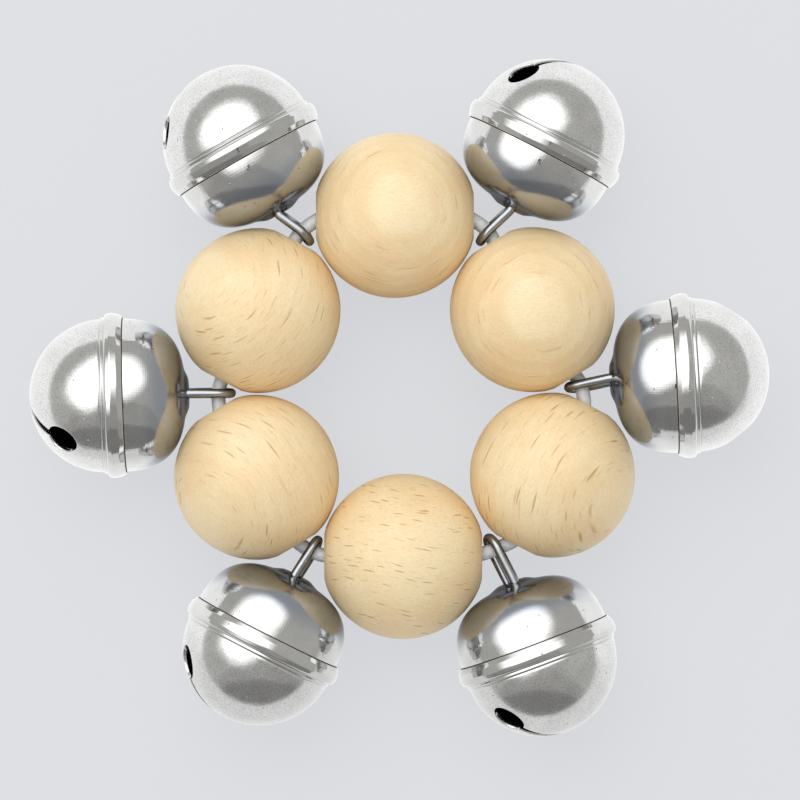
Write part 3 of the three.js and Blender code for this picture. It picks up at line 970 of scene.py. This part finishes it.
# %% The belt's profile
def belt_profile():
    neck_radius = SHELL_RADIUS * math.sin(NECK_ANGLE)
    neck_height = SLIT_DOME_CENTRE - SHELL_RADIUS * math.cos(NECK_ANGLE)
    lip = SHELL_RADIUS + ROLL_CLEARANCE
    channel = SHELL_RADIUS + FLANGE_WIDTH + ROLL_CLEARANCE
    under = FLANGE_THICKNESS + ROLL_CLEARANCE
    inside = SHELL_RADIUS - SHEET
    return rounded([
        (neck_radius, neck_height, 0),
        (neck_radius - 0.04, neck_height + 0.12, 0.05),  # the foot of the ridge
        (SHELL_RADIUS + 0.2, neck_height + 0.3, 0.12),  # the ridge
        (SHELL_RADIUS + 0.12, neck_height + 0.62, 0.08),  # the groove
        (BELT_RADIUS - 0.15, -0.75, 0.35),  # the swell begins
        (BELT_RADIUS + 0.03, -0.1, 0.5),  # full width, but for the rounding
        (BELT_RADIUS - 0.12, 0.75, 0.6),  # leaning in again
        (BELT_RADIUS - 0.42, BELT_TOP, 0.12),  # the rolled rim
        (lip, BELT_TOP, 0.05),  # the seam on the other shell
        (lip, under, 0.03),
        (channel, under, 0.03),  # the channel that holds the flange
        (channel, -ROLL_CLEARANCE, 0.03),
        (inside, -ROLL_CLEARANCE, 0.05),  # back to the inside of the shell
        (inside, -ROLL_CLEARANCE - 0.8, 0),
    ])[1:]


# %% Six lower shells
def net(rings):
    """One closed mesh through rings that follow each other and end where they began."""
    points = np.vstack(rings) * MM
    faces = []
    for row in range(len(rings)):
        below, above = row * RING_POINTS, (row + 1) % len(rings) * RING_POINTS
        for column in range(RING_POINTS):
            after = (column + 1) % RING_POINTS
            faces.append((below + column, below + after, above + after, above + column))
    return new_mesh("net", points.tolist(), faces=faces)


def lower_shell():
    """The shell's mesh: polished outside, its belt brighter, dark inside and over the belt's lip.
    """
    outside = ball_rings(CUT_EDGE_ROUNDING, 0)
    belt = round_rings(belt_profile())
    inside = ball_rings(CUT_EDGE_ROUNDING, SHEET)[::-1]
    mesh = net([*outside, *belt, *inside, *edge_rings()])
    face_outwards(mesh)
    mesh.shade_smooth()
    mesh.set_sharp_from_angle(angle=SHARP_EDGE)
    for finish in (slit_dome_finish, inside_and_seam_shade_finish, belt_finish):
        mesh.materials.append(finish)
    # From the lip's top on, faces go dark; on the lip's top it is painted shade at the seam
    shown = next(i for i, (r, h) in enumerate(belt_profile()) if r < SHELL_RADIUS + 0.2 and h > 1)
    first_inner = (len(outside) + shown) * RING_POINTS
    last_inner = (len(outside) + len(belt) + len(inside) - 1) * RING_POINTS
    finishes = np.zeros(len(mesh.polygons), np.int32)
    finishes[(len(outside) - 1) * RING_POINTS:first_inner] = 2
    finishes[first_inner:last_inner] = 1
    mesh.polygons.foreach_set("material_index", finishes)
    return mesh


for number in NUMBERS:
    mesh = lower_shell()
    roll = Matrix.Rotation(math.radians(SLIT_ROLLS[number - 1]), 4, "Z")
    stand_in(mesh, f"bell_{number}_lower_shell", bell_matrix(number) @ roll)
print("lower shell triangles:", 2 * len(mesh.polygons))

# %% [markdown]
# ## The wire loops
#
# A piece of wire is bent round the cord. Both ends go through the boss and are splayed inside
# the dome, where nobody sees them, so that the bell can't come off. The eye lies square to the
# line between the two beads beside it, so that it clears both when the bell swings. A curve
# object with a bevel would do as well, but the sweep tree gives the plain mesh at once.

# %% Six wire loops
LOOP_BEND_STEPS = 24
LEG_STEPS = 6
WIRE_SIDES = 28


def loop_path(number):
    """The wire's middle line on the bell's own axes, in metres."""
    to_bell = bell_matrix(number).inverted()
    hinge, _ = place_and_axis(f"bell_{number}_swing")
    eye = (to_bell @ hinge) / MM
    before, _ = place_and_axis(f"bead_{number}_spin")
    after, _ = place_and_axis(f"bead_{next_bead(number)}_spin")
    inward = (to_bell.to_3x3() @ (after - before).cross(UP)).normalized()
    side = leg_side(number)
    eye_side = (side - inward * side.dot(inward)).normalized()
    angles = [step / LOOP_BEND_STEPS * math.pi for step in range(LOOP_BEND_STEPS + 1)]
    arc = [eye + LOOP_RADIUS * (eye_side * math.cos(a) + inward * math.sin(a)) for a in angles]
    knee = LOOP_DOME_HEIGHT + BOSS_HEIGHT - SHEET - 2 * WIRE_RADIUS
    top = UP * (LOOP_DOME_HEIGHT + BOSS_HEIGHT + LEG_HOLE_CLEARANCE)

    def leg(sign):
        """One leg from the end of its tail, round its bend and up to the eye."""
        foot = side * sign * LOOP_RADIUS
        bend = foot + UP * knee
        tail = side * sign * (LOOP_RADIUS + TAIL_LENGTH + WIRE_RADIUS) + UP * (knee - TAIL_DROP)
        low, high = bend.lerp(tail, 0.5), foot + UP * (knee + WIRE_RADIUS)
        eye_end = arc[0] if sign > 0 else arc[-1]
        line = [tail]
        for step in range(LEG_STEPS + 1):
            share = step / LEG_STEPS
            line.append(low * (1 - share) ** 2 + bend * 2 * share * (1 - share) + high * share ** 2)
        line += [(foot + top).lerp(eye_end, step / LEG_STEPS) for step in range(LEG_STEPS)]
        return line

    return [point * MM for point in [*leg(1), *arc, *reversed(leg(-1))]]


for number in NUMBERS:
    name = f"bell_{number}_wire_loop"
    mesh = swept(name, loop_path(number), WIRE_RADIUS * MM, WIRE_SIDES, wire_finish)
    stand_in(mesh, name, bell_matrix(number))
print("wire triangles:", 2 * len(mesh.polygons))

# %% [markdown]
# ## The elastic cord
#
# The cord runs straight down each bore and bends evenly from one bore to the next through the
# eye of each wire loop. Every bend is a cubic between two places and two directions that the
# joints give. Beside the fourth bell the cord is knotted, and the knot shows as a lump on each
# side of the wire. It is one closed piece that all others hang on.

# %% The cord
CORD_STEPS = 14
CORD_SIDES = 32
KNOTTED = 4
KNOT_REACH = 4.0


def bend(start, start_way, end, end_way):
    """An even bend from one place and direction to another."""
    handle = (end - start).length / 3
    first, second = start + start_way * handle, end - end_way * handle
    points = []
    for step in range(CORD_STEPS):
        t = step / CORD_STEPS
        near = start * (1 - t) ** 3 + first * 3 * t * (1 - t) ** 2
        points.append(near + second * 3 * t ** 2 * (1 - t) + end * t ** 3)
    return points


def cord_path():
    points = []
    straight = (BEAD_HALF_LENGTH - CORD_BEND_START) * MM
    for number in NUMBERS:
        place, way = place_and_axis(f"bell_{number}_swing")
        here, bore = place_and_axis(f"bead_{number}_spin")
        there, next_bore = place_and_axis(f"bead_{next_bead(number)}_spin")
        leaving, arriving = here + bore * straight, there - next_bore * straight
        points += bend(leaving, bore, place, way)
        points += bend(place, way, arriving, next_bore)
        points.append(arriving)
    return points


def knot_swelling(points):
    """How much thicker than the cord each of its points is."""
    place, way = place_and_axis(f"bell_{KNOTTED}_swing")
    offset = WIRE_RADIUS + LOOP_CLEARANCE + KNOT_LENGTH / 2
    swelling = []
    for point in points:
        along = (point - place).dot(way) / MM
        near = (point - place).length < KNOT_REACH * MM
        share = (abs(along) - offset) / (KNOT_LENGTH / 2)
        lump = math.sqrt(max(0.0, 1 - share ** 2)) if near else 0.0
        swelling.append(max(1.0, KNOT_RADIUS / CORD_RADIUS * lump))
    return swelling


cord_points = cord_path()
cord_length = sum((b - a).length for a, b in zip(cord_points, cord_points[1:] + cord_points[:1]))
mesh = swept(
    "elastic_cord",
    cord_points,
    CORD_RADIUS * MM,
    CORD_SIDES,
    elastic_finish,
    closed=True,
    swelling=knot_swelling(cord_points),
)
stand_in(mesh, "elastic_cord")
print("cord length in mm:", round(cord_length / MM, 1))

# %% [markdown]
# ## The pellets
#
# The pellet that rings the bell is a rough steel slug. It is barely to be seen through the
# slit, so a ball with a few soft dents is enough, as long as it lies where gravity puts it.

# %% Six pellets
PELLET_DENT = 0.25


def pellet_tree():
    graph = ShapeGraph("pellet", Radius="Float", Dent="Float", Seed="Float")
    radius, dent, seed, _ = graph.inputs
    ball = graph.node(
        "GeometryNodeMeshIcoSphere", None, {"Radius": radius, "Subdivisions": 5}, output="Mesh"
    )
    position = graph.node("GeometryNodeInputPosition")
    unit = graph.vector_math("NORMALIZE", position)
    uneven = graph.node(
        "ShaderNodeTexNoise", {"noise_dimensions": "4D"}, {"Vector": unit, "W": seed, "Scale": 1.6}
    )
    inward = graph.node(
        "ShaderNodeVectorMath", {"operation": "SCALE"}, {0: unit, "Scale": uneven * dent * -1}
    )
    dented = graph.node("GeometryNodeSetPosition", None, {"Geometry": ball, "Offset": inward})
    return graph.finish(dented)


pellets = pellet_tree()
track = SHELL_RADIUS - SHEET - PELLET_RADIUS - PELLET_CLEARANCE
for number in NUMBERS:
    name = f"bell_{number}_pellet"
    mesh = made_by(
        pellets,
        name,
        Radius=PELLET_RADIUS * MM,
        Dent=PELLET_DENT * MM,
        Seed=float(number),
        Finish=pellet_finish,
    )
    lie = Matrix.Translation(Vector((0, -track, SLIT_DOME_CENTRE)) * MM)
    stand_in(mesh, name, bell_matrix(number) @ lie)
print("pellet triangles:", len(mesh.polygons))

# %% [markdown]
# ## The studio
#
# The bracelet lies on a white table under one large soft lamp, with the camera straight above
# it. Mirrors show the whole room, so the room is built too, and nothing of it is painted on the
# metal. The table is darker where the ring of beads shades it and towards the bottom of the
# picture, away from the lamp. Beyond its end the walls are grey, with a rounded darker place
# low in the picture, and the camera itself is a small dark shape in the bells.
#
# Only mirrors see the table and the walls in this way. The camera sees the pale paper on the
# table, and other light meets a plain white floor.

# %% Helpers for the stage
def bare_finish(name):
    """A finish that has no shader yet."""
    graph = Finish(name)
    graph.tree.nodes.remove(graph.shader)
    return graph


def end_in(graph, shader, output="Material Output"):
    """Links the last shader of a graph to its output."""
    graph.tree.links.new(shader.socket, graph.tree.nodes[output].inputs["Surface"])


def seen_as(graph, camera, mirror, light):
    """One shader for the camera, one for mirrors and one for all other light."""
    by_camera = graph.node("ShaderNodeLightPath", output="Is Camera Ray")
    by_mirror = graph.other_output(by_camera, "Is Glossy Ray")
    return graph.blend(by_camera, graph.blend(by_mirror, light, mirror), camera)


def glow(graph, colour, strength=1.0):
    return graph.node("ShaderNodeEmission", None, {"Color": colour, "Strength": strength})


def stage_piece(name, points, faces, finish, seen_by_camera=True):
    """A piece of the studio, which is no part of the bracelet."""
    mesh = new_mesh(name, points, faces=faces)
    mesh.materials.append(finish)
    piece = new_object(name, mesh)
    piece.visible_camera = seen_by_camera
    return piece


# %% The floor
PAPER = (0.714, 0.731, 0.765, 1)
FLOOR_WHITE = (0.78, 0.78, 0.79, 1)
SHADOW_SHARE = 0.16
TABLE_GLARE = 1.18
TABLE_SHADE = 0.15
SHADE_INNER = 0.024
SHADE_OUTER = 0.036
LOW_SIDE_LOSS = 0.26
LOW_SIDE_START = 0.01
LOW_SIDE_END = 0.06
ROOM_LIGHT = (0.53, 0.525, 0.505, 1)
ROOM_DARK = (0.26, 0.257, 0.25, 1)
TABLE_RADIUS = 0.4
FLOOR_RADIUS = 1.2


def floor_finish():
    graph = bare_finish("studio floor")
    place = graph.coordinates()
    far = graph.node("ShaderNodeVectorMath", {"operation": "LENGTH"}, {0: place}, output="Value")
    _, up, _ = graph.parts(place)
    lit = graph.node("ShaderNodeBsdfDiffuse", None, {"Color": FLOOR_WHITE})
    paper = graph.blend(1 - SHADOW_SHARE, lit, glow(graph, PAPER))
    # Painted shadow for mirrors: the table's glow is dimmer under the ring of beads and low down
    open_table = graph.step(far, SHADE_INNER, SHADE_OUTER) * (1 - TABLE_SHADE) + TABLE_SHADE
    low_side = graph.step(up * -1, LOW_SIDE_START, LOW_SIDE_END)
    bright = open_table * (1 - low_side * LOW_SIDE_LOSS)
    table = glow(graph, (1, 1, 1, 1), bright * TABLE_GLARE)
    table_end = graph.step(far, TABLE_RADIUS, TABLE_RADIUS * 1.05)
    mirrored_table = graph.blend(table_end, table, glow(graph, ROOM_LIGHT))
    end_in(graph, seen_as(graph, paper, mirrored_table, lit))
    return graph.material


def disc(radius, count=96):
    angles = np.arange(count) / count * math.tau
    return [(*point, 0) for point in radius * directions(angles)], [tuple(range(count))]


stage_piece("studio_floor", *disc(FLOOR_RADIUS), floor_finish())

# %% [markdown]
# What is not the table is the room. A world is the plainest room there is: one colour for each
# direction. Mirrors see the grey walls in it, the camera sees the same paper as on the table,
# and everything else gets an even soft light.

# %% The room
SOFT_LIGHT = (0.7, 0.7, 0.7, 1)
# The rounded darker place, as directions from the bracelet. Below DARKEST_NORTH it is darkest.
DARK_HALF_WIDTH = 0.82
DARK_NORTH = -0.62
DARK_HALF_HEIGHT = 0.46
DARKEST_NORTH = -0.74


def room():
    world = bpy.data.worlds.new("studio room")
    bpy.context.scene.world = world
    world.use_nodes = True
    world.node_tree.nodes.remove(world.node_tree.nodes["Background"])
    graph = Graph(world.node_tree)
    east, north, _ = graph.parts(graph.coordinates("Generated"))
    across, up = east / DARK_HALF_WIDTH, (north - DARK_NORTH) / DARK_HALF_HEIGHT
    dark = 1 - graph.step((across ** 2 + up ** 2) ** 0.5, 0.9, 1.05)
    darkest = dark * (1 - graph.step(north, DARKEST_NORTH, DARKEST_NORTH + 0.04))
    walls = graph.mix(darkest, graph.mix(dark * 0.45, ROOM_LIGHT, ROOM_DARK), ROOM_DARK)
    sights = [
        graph.node("ShaderNodeBackground", None, {"Color": colour})
        for colour in (PAPER, walls, SOFT_LIGHT)
    ]
    end_in(graph, seen_as(graph, *sights), "World Output")


room()

# %% [markdown]
# One large area lamp lights the wood, from the top of the picture and a little from the left.
# Its size makes the shadows soft. Mirrors don't see it, because a lamp shows as a plate with a
# hard edge in them, and they get a sheet of cloth to look at instead.

# %% The lamp
RING_CENTRE = Vector((0, 0, BEAD_RADIUS * MM))
LAMP_PLACE = Vector((-0.16, 0.36, 0.62))
LAMP_WIDTH = 0.85
LAMP_HEIGHT = 0.6
LAMP_RADIANCE = 2.05


def towards_ring(place):
    """The turn of a lamp or sheet at this place that faces the bracelet."""
    return (RING_CENTRE - place).to_track_quat("-Z", "Y")


lamp_data = bpy.data.lights.new("soft lamp", "AREA")
lamp_data.shape = "RECTANGLE"
lamp_data.size = LAMP_WIDTH
lamp_data.size_y = LAMP_HEIGHT
lamp_data.energy = LAMP_RADIANCE * math.pi * LAMP_WIDTH * LAMP_HEIGHT
lamp = new_object("soft lamp", lamp_data)
lamp.location = LAMP_PLACE
lamp.rotation_euler = towards_ring(LAMP_PLACE).to_euler()
lamp.visible_glossy = False

# %% [markdown]
# The cloth of the lamp is what the bells mirror. It is larger than the lamp behind it and its
# light fades towards its rounded edges, so it is a sheet of its own that only mirrors see.

# %% The cloth in front of the lamp
CLOTH_PLACE = Vector((-0.23, 0.28, 0.72))
CLOTH_HALF_WIDTH = 1.05
CLOTH_HALF_HEIGHT = 0.72
CLOTH_GLARE = 2.3
CLOTH_WHITE = (1, 0.995, 0.985, 1)
CLOTH_BRIGHT_SHARE = 0.35
facing = towards_ring(CLOTH_PLACE)


def cloth_finish():
    graph = bare_finish("lamp cloth")
    turn, scale = facing.to_euler(), (CLOTH_HALF_WIDTH, CLOTH_HALF_HEIGHT, 1)
    place = graph.coordinates()
    about = graph.mapped(place, "TEXTURE", Location=CLOTH_PLACE, Rotation=turn, Scale=scale)
    across, up, _ = graph.parts(about)
    far = (graph.math("ABSOLUTE", across) ** 3 + graph.math("ABSOLUTE", up) ** 3) ** (1 / 3)
    light = 1 - graph.step(far, CLOTH_BRIGHT_SHARE, 1.0)
    clear = graph.node("ShaderNodeBsdfTransparent")
    end_in(graph, graph.blend(light, clear, glow(graph, CLOTH_WHITE, CLOTH_GLARE)))
    return graph.material


def flat_box(x0, y0, x1, y1, z):
    return [(x0, y0, z), (x1, y0, z), (x1, y1, z), (x0, y1, z)]


sheet = flat_box(-CLOTH_HALF_WIDTH, -CLOTH_HALF_HEIGHT, CLOTH_HALF_WIDTH, CLOTH_HALF_HEIGHT, 0)
hung = [CLOTH_PLACE + facing @ Vector(corner) for corner in sheet]
cloth = stage_piece("studio_lamp_cloth", hung, [(0, 1, 2, 3)], cloth_finish(), seen_by_camera=False)
cloth.visible_diffuse = False
cloth.visible_shadow = False

# %% [markdown]
# The camera stands about a metre above the table and looks straight down. It is far enough
# away that the bells near the edge lean out only by a hair, as they do in the picture.

# %% The camera
PICTURE_WIDTH = 96.97 * MM
PICTURE_CENTRE = (0.09 * MM, -0.27 * MM)
CAMERA_HEIGHT = 1.0
SENSOR_WIDTH = 36

camera_data = bpy.data.cameras.new("camera")
camera_data.sensor_width = SENSOR_WIDTH
camera_data.lens = SENSOR_WIDTH * (CAMERA_HEIGHT - RING_CENTRE.z) / PICTURE_WIDTH
camera_data.clip_start = 0.01
camera_data.clip_end = 10
camera = new_object("camera", camera_data)
camera.location = (*PICTURE_CENTRE, CAMERA_HEIGHT)
bpy.context.scene.camera = camera
print("lens in mm:", round(camera_data.lens, 1))

# %% [markdown]
# In every bell the camera shows as a small dark mark with an arm below it. Two flat dark sheets
# just under the camera are enough for that. The camera itself doesn't see them.

# %% The camera's own dark shape
DUMMY_HEIGHT = 0.97
DUMMY_BODY = (-0.11, 0.02, 0.11, 0.1)
DUMMY_ARM = (-0.03, -0.3, 0.03, 0.03)

dark_finish = Finish("dark camera", Base_Color=(0.01, 0.01, 0.01, 1)).material
dummy = flat_box(*DUMMY_BODY, DUMMY_HEIGHT) + flat_box(*DUMMY_ARM, DUMMY_HEIGHT)
dummy_faces = [(0, 1, 2, 3), (4, 5, 6, 7)]
stage_piece("studio_camera", dummy, dummy_faces, dark_finish, seen_by_camera=False)

# %% [markdown]
# ## Colours as written
#
# The Standard view shows every colour as it was written.

# %% The view
bpy.context.scene.view_settings.view_transform = "Standard"
